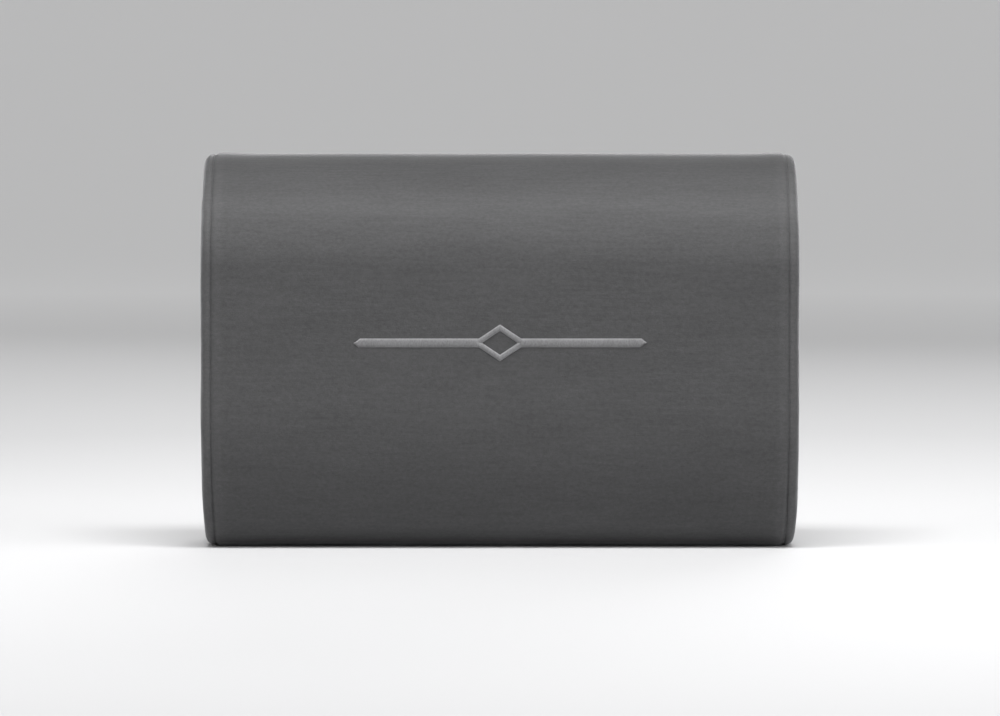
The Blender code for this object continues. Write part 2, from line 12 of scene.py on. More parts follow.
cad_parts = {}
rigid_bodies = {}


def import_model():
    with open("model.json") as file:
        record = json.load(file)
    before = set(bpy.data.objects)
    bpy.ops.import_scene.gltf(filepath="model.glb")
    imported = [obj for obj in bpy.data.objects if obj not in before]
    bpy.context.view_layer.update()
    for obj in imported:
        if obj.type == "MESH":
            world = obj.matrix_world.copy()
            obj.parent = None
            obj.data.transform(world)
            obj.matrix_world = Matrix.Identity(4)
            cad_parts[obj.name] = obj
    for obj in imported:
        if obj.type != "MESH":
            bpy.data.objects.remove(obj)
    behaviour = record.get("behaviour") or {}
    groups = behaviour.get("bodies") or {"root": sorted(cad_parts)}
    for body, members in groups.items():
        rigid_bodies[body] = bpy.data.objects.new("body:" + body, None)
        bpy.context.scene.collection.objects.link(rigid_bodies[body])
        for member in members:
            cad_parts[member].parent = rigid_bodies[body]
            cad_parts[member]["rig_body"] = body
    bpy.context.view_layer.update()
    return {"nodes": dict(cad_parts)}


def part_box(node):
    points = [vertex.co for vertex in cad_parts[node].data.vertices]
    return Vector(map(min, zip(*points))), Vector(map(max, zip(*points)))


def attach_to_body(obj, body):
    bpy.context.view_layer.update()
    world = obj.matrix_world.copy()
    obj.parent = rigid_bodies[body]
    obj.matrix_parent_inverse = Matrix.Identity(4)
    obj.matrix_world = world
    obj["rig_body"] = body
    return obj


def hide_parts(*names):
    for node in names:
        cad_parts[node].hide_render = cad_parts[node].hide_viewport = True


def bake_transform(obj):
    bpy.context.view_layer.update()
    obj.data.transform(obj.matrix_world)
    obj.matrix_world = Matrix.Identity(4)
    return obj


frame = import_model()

MM = 0.001
FLOOR_GAP = 0.2 * MM
WALL_GLOW = 0.28

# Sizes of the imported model
PANEL_BOX, GUSSET_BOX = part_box("cover_front_panel"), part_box("cover_gusset_right")
COIL_UP, COIL_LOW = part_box("zipper_coil_upper"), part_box("zipper_coil_lower")
HEIGHT = PANEL_BOX[1].z
FRONT_Y, BACK_Y = PANEL_BOX[0].y, PANEL_BOX[1].y
DEPTH = BACK_Y - FRONT_Y
SEAM_X = PANEL_BOX[1].x + 0.3 * MM
HALF_WIDTH = GUSSET_BOX[1].x
ZIP_Z, ZIP_Y = (COIL_UP[0].z + COIL_LOW[1].z) / 2, (COIL_UP[0].y + COIL_UP[1].y) / 2
ZIP_HALF = COIL_UP[1].x

# Cloth
CLOTH = 1.3 * MM
STRAP_WIDTH, STRAP_THICKNESS = 25 * MM, 1.3 * MM
REARWARD = (0, 1, 0)
# The furthest that the simulation may move the skin outwards and inwards
SWELL_CAP, SINK_CAP = 0.6 * MM, 0.12 * MM
# The cloth stays above the floor and in front of the straps
LOWEST, REARMOST = 0.05 * MM, BACK_Y + 0.15 * MM


# ---------- camera, stage and light


def make_camera():
    """From the front and a little above, far off through a long lens."""
    distance, height = 4.1, 0.312
    data = bpy.data.cameras.new("camera")
    camera = bpy.data.objects.new("camera", data)
    bpy.context.scene.collection.objects.link(camera)
    target = Vector((0, FRONT_Y, HEIGHT * 0.49))
    camera.location = (0, FRONT_Y - distance, height)
    camera.rotation_euler = (target - camera.location).to_track_quat("-Z", "Y").to_euler()
    data.lens = 276
    data.sensor_width = 36
    data.clip_start, data.clip_end = 0.05, 60
    bpy.context.scene.camera = camera


def make_stage():
    """A pale round floor that curves up to a distant wall, the same from every side."""
    flat, bend, top, steps = 4.2, 2.2, 6.5, 12
    glow_start, glow_end = 1.0, 3.2
    profile = [(0.0, 0.0), (glow_start, 0.0), (flat, 0.0)]
    for k in range(1, steps + 1):
        angle = math.radians(90 * k / steps)
        profile.append((flat + bend * math.sin(angle), bend * (1 - math.cos(angle))))
    profile.append((flat + bend, top))
    sides = 96
    verts = []
    for radius, height in profile:
        for k in range(sides):
            angle = 2 * math.pi * k / sides
            verts.append((radius * math.cos(angle), radius * math.sin(angle), height - FLOOR_GAP))
    look = Look("floor", (0.5, 0.5, 0.505), 0.9, Specular_IOR_Level=0.1)
    look.set("Emission Color", (1, 1, 1, 1))
    away = look.node("ShaderNodeVectorMath")
    away.operation = "LENGTH"
    look.link(look.place, away.inputs[0])
    glow = look.spread(away.outputs["Value"], 0, WALL_GLOW, glow_start, glow_end)
    look.link(glow, look.shader.inputs["Emission Strength"])
    floor = mesh_object("floor", verts, grid_faces(len(profile), sides, closed=True), look.material)
    floor.data.flip_normals()


def area_light(name, place, size, power, spread=180):
    data = bpy.data.lights.new(name, "AREA")
    data.spread = math.radians(spread)
    data.shape = "RECTANGLE"
    data.size, data.size_y = size
    data.energy = power
    light = bpy.data.objects.new(name, data)
    light.location = place
    aim = Vector((0, 0, HEIGHT / 2)) - Vector(place)
    light.rotation_euler = aim.to_track_quat("-Z", "Y").to_euler()
    bpy.context.scene.collection.objects.link(light)


def make_lights():
    area_light("key", (0.0, -0.68, 2.26), (1.6, 0.7), 81)
    area_light("left", (-2.3, -0.9, 1.0), (0.9, 1.0), 1.4, spread=50)
    area_light("right", (2.3, -0.9, 1.0), (0.9, 1.0), 2.0, spread=50)
    area_light("rear", (0.5, 2.7, 0.7), (2.0, 0.7), 6, spread=50)
    world = bpy.data.worlds.new("world")
    bpy.context.scene.world = world
    world.use_nodes = True
    sky = world.node_tree.nodes["Background"]
    sky.inputs["Color"].default_value = (1, 1, 1, 1)
    sky.inputs["Strength"].default_value = 0.08
    bpy.context.scene.view_settings.view_transform = "Standard"


# ---------- materials


class Look:
    """A Principled material, with short ways to add texture nodes to it."""

    def __init__(self, name, color, roughness, **sockets):
        self.material = bpy.data.materials.new(name)
        self.material.use_nodes = True
        self.material.diffuse_color = (*color, 1)
        self.tree = self.material.node_tree
        self.shader = self.tree.nodes["Principled BSDF"]
        self.color = color
        self.set("Base Color", (*color, 1))
        self.set("Roughness", roughness)
        for socket, value in sockets.items():
            self.set(socket.replace("_", " "), value)
        self.place = self.node("ShaderNodeTexCoord").outputs["Object"]

    def set(self, socket, value):
        self.shader.inputs[socket].default_value = value

    def node(self, kind):
        return self.tree.nodes.new(kind)

    def link(self, source, target):
        self.tree.links.new(source, target)

    def noise(self, scale, detail, rough):
        """Noise with one scale, or with a scale to each axis, in waves per metre."""
        mapping = self.node("ShaderNodeMapping")
        mapping.inputs["Scale"].default_value = scale if isinstance(scale, tuple) else (scale,) * 3
        self.link(self.place, mapping.inputs["Vector"])
        made = self.node("ShaderNodeTexNoise")
        made.inputs["Scale"].default_value = 1
        made.inputs["Detail"].default_value = detail
        made.inputs["Roughness"].default_value = rough
        self.link(mapping.outputs["Vector"], made.inputs["Vector"])
        return made.outputs["Fac"]

    def attribute(self, name):
        made = self.node("ShaderNodeAttribute")
        made.attribute_name = name
        return made.outputs["Fac"]

    def axis(self, letter):
        """The place along X, Y or Z, in metres."""
        made = self.node("ShaderNodeSeparateXYZ")
        self.link(self.place, made.inputs[0])
        return made.outputs[letter]

    def math(self, operation, a, b=0.0):
        made = self.node("ShaderNodeMath")
        made.operation = operation
        for socket, value in zip(made.inputs, (a, b)):
            if isinstance(value, (int, float)):
                socket.default_value = value
            else:
                self.link(value, socket)
        return made.outputs[0]

    def ribs(self, value, pitch):
        """A wave between 0 and 1 along a value in metres."""
        angle = self.math("MULTIPLY", value, 2 * math.pi / pitch)
        return self.spread(self.math("SINE", angle), 0, 1, -1, 1)

    def spread(self, source, low, high, start=0.3, end=0.7):
        """start..end of a value remapped to low..high."""
        made = self.node("ShaderNodeMapRange")
        for socket, value in zip(made.inputs[1:5], (start, end, low, high)):
            socket.default_value = value
        self.link(source, made.inputs[0])
        return made.outputs[0]

    def shade(self, *layers):
        """Multiplies the base colour by each layer, given as what `spread` takes."""
        total = self.spread(*layers[0])
        for layer in layers[1:]:
            total = self.math("MULTIPLY", total, self.spread(*layer))
        scaled = self.node("ShaderNodeVectorMath")
        scaled.operation = "SCALE"
        scaled.inputs[0].default_value = self.color
        self.link(total, scaled.inputs["Scale"])
        self.link(scaled.outputs["Vector"], self.shader.inputs["Base Color"])

    def rough(self, *layer):
        self.link(self.spread(*layer), self.shader.inputs["Roughness"])

    def bump(self, *layers):
        """Chains bumps from (height, distance in metres) pairs."""
        normal = None
        for height, distance in layers:
            made = self.node("ShaderNodeBump")
            made.inputs["Strength"].default_value = 1.0
            made.inputs["Distance"].default_value = distance
            self.link(height, made.inputs["Height"])
            if normal:
                self.link(normal, made.inputs["Normal"])
            normal = made.outputs["Normal"]
        self.link(normal, self.shader.inputs["Normal"])


def velour():
    """Dark grey short-pile cloth with faint sideways nap streaks."""
    look = Look("velour", (0.066, 0.066, 0.067), 0.95, Sheen_Weight=0.33, Sheen_Roughness=0.4)
    look.set("Specular IOR Level", 0.15)
    look.set("Sheen Tint", (0.9, 0.9, 0.92, 1))
    pile = look.noise(2600, 2, 0.6)
    fleck = look.noise((420, 640, 640), 2, 0.6)
    streak = look.noise((45, 420, 420), 4, 0.6)
    brushed = look.noise((14, 60, 60), 3, 0.55)
    look.shade(
        (pile, 0.86, 1.14, 0.25, 0.75),
        (fleck, 0.91, 1.09),
        (streak, 0.95, 1.05),
        (brushed, 0.95, 1.05),
        # painted shade in the seams' dips and a painted highlight on their rolled edges
        (look.attribute("painted_seam_light"), 0.84, 1.24, 0, 1),
        # painted shade: the top edge darkened towards the very top
        (look.attribute("crown"), 1, 0.56, 0, 1),
    )
    look.bump((streak, 0.10 * MM), (fleck, 0.07 * MM), (pile, 0.05 * MM))
    return look.material


def webbing(name, color, rib, yarn, sheen):
    """Woven strap: ribs across it, yarns along it, and a firmer edge."""
    look = Look(name, color, 0.75, Sheen_Weight=sheen, Specular_IOR_Level=0.3)
    along, across = look.attribute("along"), look.attribute("across")
    ribs = look.ribs(along, rib)
    yarns = look.ribs(across, yarn)
    weave = look.math("MULTIPLY", ribs, look.spread(yarns, 0.55, 1, 0, 1))
    share = look.math("MULTIPLY", across, 2 / STRAP_WIDTH)
    edge = look.math("POWER", look.math("ABSOLUTE", share), 12)
    fuzz = look.noise(900, 3, 0.6)
    look.shade((weave, 0.55, 1.5, 0, 1), (fuzz, 0.85, 1.2), (edge, 1, 1.35, 0, 1))
    look.rough(weave, 0.85, 0.62, 0, 1)
    look.bump((weave, 0.18 * MM), (fuzz, 0.05 * MM))
    return look.material


def tape_cloth():
    """Herringbone zip tape."""
    look = Look("zip_tape", (0.035, 0.035, 0.036), 0.82, Sheen_Weight=0.15)
    x, z = look.axis("X"), look.axis("Z")
    zigzag = look.math("PINGPONG", z, 1.2 * MM)
    twill = look.ribs(look.math("ADD", x, zigzag), 0.8 * MM)
    fuzz = look.noise(1500, 2, 0.6)
    look.shade((twill, 0.7, 1.3, 0, 1), (fuzz, 0.85, 1.15))
    look.bump((twill, 0.1 * MM), (fuzz, 0.04 * MM))
    return look.material


def plastic(name, color, roughness):
    """Moulded plastic: a fine spark-eroded grain, dulled in patches, paler where it is handled."""
    look = Look(name, color, roughness)
    grain = look.noise(2200, 3, 0.6)
    patches = look.noise(70, 3, 0.55)
    scuffs = look.noise((160, 900, 420), 4, 0.65)
    look.shade((grain, 0.85, 1.2), (patches, 0.9, 1.12), (scuffs, 1, 1.5, 0.62, 0.8))
    look.rough(patches, roughness - 0.08, roughness + 0.1)
    look.bump((grain, 0.025 * MM), (scuffs, 0.01 * MM))
    return look.material


def coil_nylon():
    """Satin nylon filament."""
    look = Look("zip_coil", (0.03, 0.03, 0.031), 0.4)
    cloudy = look.noise(600, 3, 0.5)
    look.shade((cloudy, 0.75, 1.35))
    look.rough(cloudy, 0.33, 0.52)
    look.bump((look.noise(3000, 2, 0.5), 0.01 * MM))
    return look.material


def zip_metal():
    """Dark lacquered zinc, rubbed brighter here and there."""
    look = Look("zip_metal", (0.16, 0.16, 0.17), 0.35, Metallic=1.0)
    scratch = look.noise((900, 200, 2600), 4, 0.6)
    worn = look.noise(260, 3, 0.6)
    look.shade((worn, 0.85, 1.5, 0.45, 0.75), (scratch, 0.9, 1.12))
    look.rough(scratch, 0.28, 0.45)
    look.bump((scratch, 0.008 * MM), (worn, 0.02 * MM))
    return look.material


def thread(name, color):
    """Shiny twisted thread."""
    look = Look(name, color, 0.5, Sheen_Weight=0.3)
    fibre = look.noise((2600, 2600, 700), 3, 0.6)
    tone = look.noise(90, 2, 0.5)
    look.shade((fibre, 0.75, 1.3), (tone, 0.93, 1.07))
    look.rough(fibre, 0.42, 0.62)
    look.bump((fibre, 0.05 * MM))
    return look.material


def label_cloth():
    """Blank satin-woven label."""
    look = Look("label", (0.55, 0.55, 0.54), 0.6, Sheen_Weight=0.2)
    warp = look.ribs(look.axis("X"), 0.35 * MM)
    weft = look.ribs(look.axis("Z"), 0.5 * MM)
    weave = look.math("MULTIPLY", warp, weft)
    soil = look.noise(120, 3, 0.5)
    look.shade((weave, 0.88, 1.06, 0, 1), (soil, 0.93, 1.04))
    look.bump((weave, 0.05 * MM))
    return look.material


def lining_cloth():
    """Pale plain-woven lining."""
    look = Look("lining", (0.62, 0.61, 0.59), 0.95, Sheen_Weight=0.2)
    yarn = 0.9 * MM
    weave = look.math("MULTIPLY", look.ribs(look.axis("X"), yarn), look.ribs(look.axis("Z"), yarn))
    soil = look.noise(40, 3, 0.5)
    look.shade((weave, 0.85, 1.05, 0, 1), (soil, 0.94, 1.04))
    look.bump((weave, 0.15 * MM))
    return look.material


def foam_cells():
    """Open-cell foam."""
    look = Look("foam", (0.80, 0.74, 0.55), 1.0)
    cells = look.noise(900, 4, 0.7)
    yellowed = look.noise(12, 3, 0.5)
    look.shade((cells, 0.75, 1.08), (yellowed, 0.92, 1.04))
    look.bump((cells, 0.4 * MM))
    return look.material


# ---------- mesh helpers


def mesh_object(name, verts, faces, material=None):
    mesh = bpy.data.meshes.new(name)
    mesh.from_pydata([tuple(v) for v in verts], [], [tuple(f) for f in faces])
    mesh.update()
    mesh.shade_smooth()
    if material:
        mesh.materials.append(material)
    made = bpy.data.objects.new(name, mesh)
    bpy.context.scene.collection.objects.link(made)
    return made


def grid_faces(rows, columns, closed=False, ring=False, first=0):
    """Quads of a grid listed row by row, its columns or its rows joined round if asked."""
    faces = []
    for r in range(rows if ring else rows - 1):
        here, there = first + r * columns, first + (r + 1) % rows * columns
        for c in range(columns if closed else columns - 1):
            d = (c + 1) % columns
            faces.append((here + c, here + d, there + d, there + c))
    return faces


def tube_faces(rows, sides, first=0):
    """Faces of a tube that is closed at both ends."""
    faces = grid_faces(rows, sides, closed=True, first=first)
    faces.append(tuple(first + k for k in reversed(range(sides))))
    faces.append(tuple(first + (rows - 1) * sides + k for k in range(sides)))
    return faces


def fan_faces(first, count, middle):
    """Triangles from a ring of vertices to a middle one."""
    return [(first + k, first + (k + 1) % count, middle) for k in range(count)]


def read_rows(at, places, rows):
    """Rows of numbers that are known at some places, read at others."""
    return np.stack([np.interp(at, places, column) for column in rows.T], -1)


def set_attribute(thing, name, values):
    layer = thing.data.attributes.new(name, "FLOAT", "POINT")
    layer.data.foreach_set("value", np.asarray(values, np.float32))


def apply_modifiers(thing):
    graph = bpy.context.evaluated_depsgraph_get()
    mesh = bpy.data.meshes.new_from_object(thing.evaluated_get(graph))
    thing.modifiers.clear()
    thing.data = mesh


def face_outward(thing):
    """Turns a closed mesh's faces outward."""
    work = bmesh.new()
    work.from_mesh(thing.data)
    inside_out = work.calc_volume(signed=True) < 0
    work.free()
    if inside_out:
        thing.data.flip_normals()


def face_towards(thing, near, outward):
    """Flips a skin's faces if the one nearest a point doesn't look outward."""
    nearest = min(thing.data.polygons, key=lambda face: (face.center - Vector(near)).length)
    if nearest.normal.dot(Vector(outward)) < 0:
        thing.data.flip_normals()


def thicken(thing, thickness):
    """Gives an outer skin its cloth's thickness, inwards."""
    skin = thing.modifiers.new("thickness", "SOLIDIFY")
    skin.thickness = thickness
    skin.offset = -1
    apply_modifiers(thing)


def attach(thing, body, slot, *nodes):
    """Makes a piece ride on a body and stand for CAD nodes; `slot` is not used."""
    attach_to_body(thing, body)
    if nodes:
        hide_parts(*nodes)
    return thing


def graded(length, coarse, fine, reach=9 * MM):
    """Distances from 0 to length, with small steps near both ends."""
    half, here = [0.0], 0.0
    while here < length / 2:
        share = min(1.0, here / reach)
        here += fine + (coarse - fine) * share * share
        half.append(here)
    scale = (length / 2) / half[-1]
    half = [h * scale for h in half]
    return np.array(half + [length - h for h in reversed(half[:-1])])


def smooth_curve(points, steps):
    """A Catmull-Rom curve through points, with `steps` samples to each span."""
    points = [np.array(p, float) for p in points]
    ends = [2 * points[0] - points[1], *points, 2 * points[-1] - points[-2]]
    curve = [points[0]]
    for a, b, c, d in zip(ends, ends[1:], ends[2:], ends[3:]):
        for k in range(1, steps + 1):
            t = k / steps
            cubic = -a + 3 * b - 3 * c + d
            square = 2 * a - 5 * b + 4 * c - d
            curve.append(b + 0.5 * ((c - a) * t + square * t**2 + cubic * t**3))
    return np.array(curve)


class Strands:
    """Threads and wires gathered into one mesh."""

    def __init__(self, sides=6):
        self.sides, self.verts, self.faces = sides, [], []

    def add(self, points, radius):
        """A round strand along points, its ends narrowed to a tip."""
        points = [Vector(p) for p in points]
        first = len(self.verts)
        across = None
        for n, point in enumerate(points):
            tangent = (points[min(n + 1, len(points) - 1)] - points[max(n - 1, 0)]).normalized()
            if across is None:
                across = tangent.orthogonal().normalized()
            across = (across - tangent * across.dot(tangent)).normalized()
            up = tangent.cross(across)
            at_end = n in (0, len(points) - 1)
            reach = radius * (0.35 if at_end else 1)
            for k in range(self.sides):
                angle = 2 * math.pi * k / self.sides
                self.verts.append(point + (across * math.cos(angle) + up * math.sin(angle)) * reach)
        self.faces += tube_faces(len(points), self.sides, first)

    def stitch(self, start, end, out, radius, rise):
        """A stitch lying on a surface whose outward direction is `out`, its ends dipping in."""
        start, end, out = Vector(start), Vector(end), Vector(out)
        arch = ((0, -1.2), (0.08, 0.1), (0.3, 0.9), (0.5, 1), (0.7, 0.9), (0.92, 0.1), (1, -1.2))
        self.add([start.lerp(end, share) + out * (lift * rise) for share, lift in arch], radius)

    def row(self, corners, out, length, gap, radius, rise=0.16 * MM):
        """Stitches along straight runs between corners."""
        for a, b in zip(corners, corners[1:]):
            a, b = Vector(a), Vector(b)
            count = max(1, round((b - a).length / (length + gap)))
            spare = gap / 2 / max((b - a).length / count, 1e-9)
            for k in range(count):
                start = a.lerp(b, (k + spare) / count)
                end = a.lerp(b, (k + 1 - spare) / count)
                self.stitch(start, end, out, radius, rise)

    def make(self, name, material):
        return mesh_object(name, self.verts, self.faces, material)


def rectangle(x0, x1, z0, z1, y):
    """An upright rectangle's corners, ending at the first one again."""
    return [(x0, y, z0), (x1, y, z0), (x1, y, z1), (x0, y, z1), (x0, y, z0)]


def refined(node, material, slot, width):
    """A CAD node's shape with softened edges, as a new piece that stands for it."""
    source = frame["nodes"][node]
    mesh = source.data.copy()
    mesh.materials.clear()
    mesh.materials.append(material)
    piece = bpy.data.objects.new(f"{node}_fine", mesh)
    bpy.context.scene.collection.objects.link(piece)
    work = bmesh.new()
    work.from_mesh(mesh)
    bmesh.ops.remove_doubles(work, verts=work.verts, dist=0.005 * MM)
    bmesh.ops.dissolve_limit(work, angle_limit=math.radians(1), verts=work.verts, edges=work.edges)
    work.to_mesh(mesh)
    work.free()
    edge = piece.modifiers.new("edge", "BEVEL")
    edge.width = width
    edge.segments = 2
    edge.limit_method = "ANGLE"
    edge.angle_limit = math.radians(35)
    apply_modifiers(piece)
    piece.data.shade_smooth()
    piece.data.set_sharp_from_angle(angle=math.radians(40))
    return attach(piece, source["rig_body"], slot, node)


# ---------- cover outline

TOP_BACK_RADIUS, BOTTOM_BACK_RADIUS = 12 * MM, 8 * MM
SHOULDER_HEIGHT = 57 * MM
# radius, then the normal's angle above level at its start and end
ARCS = {
    "toe": (28 * MM, -90, -20),
    "belly": (170 * MM, -20, 0),
    "shoulder": (38 * MM, 0, 50),
    "slope": (110 * MM, 50, 63),
    "crown": (45 * MM, 63, 90),
}


def unit(degrees):
    """The unit vector at an angle."""
    return np.array((math.cos(math.radians(degrees)), math.sin(math.radians(degrees))))


def arc_rise(name):
    radius, start, end = ARCS[name]
    return radius * (math.sin(math.radians(end)) - math.sin(math.radians(start)))


def arc_run(name):
    radius, start, end = ARCS[name]
    return radius * (math.cos(math.radians(start)) - math.cos(math.radians(end)))


def outline_moves():
    """Arcs (radius, turn) and straights (None, length) from the bottom back seam to the top one."""
    upper = ("shoulder", "slope", "crown")
    lean = math.radians(ARCS["shoulder"][2])
    flank_rise = SHOULDER_HEIGHT - sum(arc_rise(name) for name in upper)
    flank_run = flank_rise * math.tan(lean)
    base = DEPTH - BOTTOM_BACK_RADIUS + arc_run("toe") + arc_run("belly")
    front = HEIGHT - SHOULDER_HEIGHT - arc_rise("toe") - arc_rise("belly")
    top = DEPTH - TOP_BACK_RADIUS - flank_run - sum(arc_run(name) for name in upper)
    turns = {name: (radius, end - start) for name, (radius, start, end) in ARCS.items()}
    below = [(BOTTOM_BACK_RADIUS, 90), (None, base), turns["toe"], turns["belly"], (None, front)]
    flank = [turns["shoulder"], (None, flank_rise / math.cos(lean)), turns["slope"]]
    return [*below, *flank, turns["crown"], (None, top), (TOP_BACK_RADIUS, 90)]


def wrap_curve():
    """Dense samples of the front panel's path: distances, (y, z) points and outward normals."""
    here, heading, travelled = np.array((0.0, BOTTOM_BACK_RADIUS)), -90.0, 0.0
    distances, points, normals = [0.0], [here], [unit(heading - 90)]
    for radius, amount in outline_moves():
        length = amount if radius is None else radius * math.radians(amount)
        steps = max(2, math.ceil(length / (0.5 * MM)))
        start, first_heading = here, heading
        for k in range(1, steps + 1):
            share = k / steps
            if radius is None:
                here = start + length * share * unit(first_heading)
            else:
                centre = start + radius * unit(first_heading + 90)
                heading = first_heading + amount * share
                here = centre - radius * unit(heading + 90)
            distances.append(travelled + length * share)
            points.append(here)
            normals.append(unit(heading - 90))
        travelled += length
    # the first axis has been the distance in front of the back panel, which is -Y
    flip = np.array((-1.0, 1.0))
    return np.array(distances), np.array(points) * flip + (BACK_Y, 0), np.array(normals) * flip


WRAP_S, WRAP_P, WRAP_N = wrap_curve()
WRAP_LENGTH = WRAP_S[-1]


def along_wrap(distances):
    """(y, z) points and normals at distances along the front panel."""
    normals = read_rows(distances, WRAP_S, WRAP_N)
    return read_rows(distances, WRAP_S, WRAP_P), normals / np.linalg.norm(normals, axis=1)[:, None]


def whole_outline(wrap_s, back_steps):
    """The closed outline: the front panel's points, then the back's going down."""
    back_z = np.linspace(HEIGHT - TOP_BACK_RADIUS, BOTTOM_BACK_RADIUS, back_steps)[1:-1]
    wrap, wrap_n = along_wrap(wrap_s)
    back = np.stack([np.full(len(back_z), BACK_Y), back_z], 1)
    back_n = np.tile((1.0, 0.0), (len(back_z), 1))
    return np.concatenate([wrap, back]), np.concatenate([wrap_n, back_n])


def round_lengths(ring):
    """Distance of each point round a ring from its first point."""
    return np.concatenate([[0], np.cumsum(np.linalg.norm(np.diff(ring, axis=0), axis=1))])


# End panel: (distance in from the outline, height beyond the seam) of its rolled edge and dome
DOME_CURVE = [(1.4, -0.5), (0.7, -0.1), (0.25, 0.5), (0.05, 1.3), (0.15, 2.1), (0.6, 3.0)]
DOME_CURVE += [(1.4, 3.9), (2.6, 4.6), (4.5, 5.1), (8, 5.4), (16, 5.6)]
DOME_CURVE += [(30, 5.7), (50, 5.75), (70, 5.8), (88, 5.8)]
DOME = smooth_curve(DOME_CURVE, 3) * MM
GUSSET_MIDDLE = np.array((BACK_Y - DEPTH * 0.46, HEIGHT * 0.48))
# The outline's mean distance from that middle
GUSSET_MEAN = 90 * MM
EDGE_TUCK = 3 * MM
BOW, BOW_REACH = 1.8 * MM, 60 * MM
# Height where the painted shade over the top edge begins
TOP_SHADE_START = 186 * MM


def clamped(value):
    return min(1, max(0, value))


def bowed(x, z):
    """X with the side seams bowed outwards above the base."""
    rise = 1 - (1 - clamped(z / BOW_REACH)) ** 2
    return x + BOW * rise * (x / SEAM_X) ** 3


def gusset_ring(rim, normals, inset):
    """The (y, z) points of an end panel's ring at a distance in from its seam."""
    ring = rim - normals * min(inset, EDGE_TUCK)
    further = max(inset - EDGE_TUCK, 0)
    reach = np.linalg.norm(ring - GUSSET_MIDDLE, axis=1)
    evenness = min(1, further / (40 * MM))
    share = 1 - further * ((1 - evenness) / reach + evenness / GUSSET_MEAN)
    return GUSSET_MIDDLE + (ring - GUSSET_MIDDLE) * share[:, None]


# ---------- cover by cloth simulation


def closed_bag():
    """The whole cover as one closed skin. Returns its points, faces and how they are laid out."""
    wrap_s = graded(WRAP_LENGTH, 6 * MM, 3 * MM)
    columns = graded(2 * SEAM_X, 6 * MM, 3 * MM) - SEAM_X
    rim, normals = whole_outline(wrap_s, 30)
    rows, wide = len(rim), len(columns)
    verts = [(x, y, z) for y, z in rim for x in columns]
    faces = grid_faces(rows, wide, ring=True)
    dome = np.array(DOME_CURVE[5:]) * MM
    ends = []
    for side, column in ((-1, 0), (1, wide - 1)):
        rings = [[r * wide + column for r in range(rows)]]
        for inset, height in dome:
            first = len(verts)
            verts += [(side * (SEAM_X + height), y, z) for y, z in gusset_ring(rim, normals, inset)]
            rings.append(list(range(first, first + rows)))
        verts.append((side * (SEAM_X + dome[-1][1]), *GUSSET_MIDDLE))
        for outer, inner in zip(rings, rings[1:]):
            faces += [(outer[k - 1], inner[k - 1], inner[k], outer[k]) for k in range(rows)]
        faces += [(rings[-1][k - 1], len(verts) - 1, rings[-1][k]) for k in range(rows)]
        ends.append(rings)
    insets = np.concatenate([[0], dome[:, 0]])
    return np.array(verts), faces, wrap_s, columns, insets, round_lengths(rim), ends


def swell():
    """Runs the pressurised cloth, and returns how far it moved the front and the end panels."""
    rest, faces, wrap_s, columns, insets, lengths, ends = closed_bag()
    bag = mesh_object("bag", rest, faces)
    work = bmesh.new()
    work.from_mesh(bag.data)
    bmesh.ops.recalc_face_normals(work, faces=work.faces)
    work.to_mesh(bag.data)
    work.free()
    held = bag.vertex_groups.new(name="held")
    fixed = (rest[:, 2] < 0.5 * MM) | (rest[:, 1] > BACK_Y - 0.5 * MM)
    seam = (abs(abs(rest[:, 0]) - SEAM_X) < 0.1 * MM) & ~fixed
    held.add([int(k) for k in np.flatnonzero(fixed)], 1.0, "REPLACE")
    held.add([int(k) for k in np.flatnonzero(seam)], 0.4, "REPLACE")
    settings = bag.modifiers.new("cloth", "CLOTH").settings
    settings.quality = 6
    settings.mass = 0.25
    settings.tension_stiffness = 60
    settings.compression_stiffness = 60
    settings.shear_stiffness = 30
    settings.bending_stiffness = 6
    settings.use_pressure = True
    settings.uniform_pressure_force = 4
    settings.vertex_group_mass = "held"
    settings.effector_weights.gravity = 0
    scene = bpy.context.scene
    for k in range(1, 21):
        scene.frame_set(k)
    graph = bpy.context.evaluated_depsgraph_get()
    done = bag.evaluated_get(graph).to_mesh()
    moved = np.array([v.co[:] for v in done.vertices]) - rest
    outward = np.array([v.normal[:] for v in bag.data.vertices])
    scene.frame_set(1)
    bpy.data.objects.remove(bag, do_unlink=True)
    rise = np.sum(moved * outward, axis=1)
    caps = np.where(rise > 0, SWELL_CAP, SINK_CAP)
    soft = caps * np.tanh(rise / caps)
    moved = outward * soft[:, None]
    wrap = moved[: len(lengths) * len(columns)].reshape(len(lengths), len(columns), 3)[: len(wrap_s)]
    end_tables = [np.array([[moved[k] for k in ring] for ring in rings]) for rings in ends]
    return (wrap_s, columns, wrap), (insets, lengths, end_tables)


def blurred(grid):
    padded = np.concatenate([grid[:1], grid, grid[-1:]])
    return (padded[:-2] + 2 * padded[1:-1] + padded[2:]) / 4


def resampled(table, rows, columns, new_rows, new_columns):
    """A grid of vectors read at new places along both ways, and smoothed."""
    wide = np.array([read_rows(new_columns, columns, row) for row in table])
    grid = np.stack([read_rows(new_rows, rows, wide[:, c]) for c in range(len(new_columns))], 1)
    for _ in range(6):
        grid = blurred(grid)
        grid = blurred(grid.transpose(1, 0, 2)).transpose(1, 0, 2)
    return grid


# ---------- cover panels


def ripple(point, scale, seed):
    """Smooth noise between about -1 and 1 at a point, `scale` metres to a wave."""
    return noise.noise(Vector(point) / scale + Vector((7.3, 3.1, 1.7)) * seed)


def lip_height(distance, roll=0.6 * MM, groove=0.7 * MM):
    """Height of a stuffed edge by its distance from the seam: a dip, then a soft roll."""
    crest, dip = 4.5 * MM, 1.2 * MM
    share = distance / crest
    return roll * share * math.exp(1 - share) - groove * math.exp(-((distance / dip) ** 2))


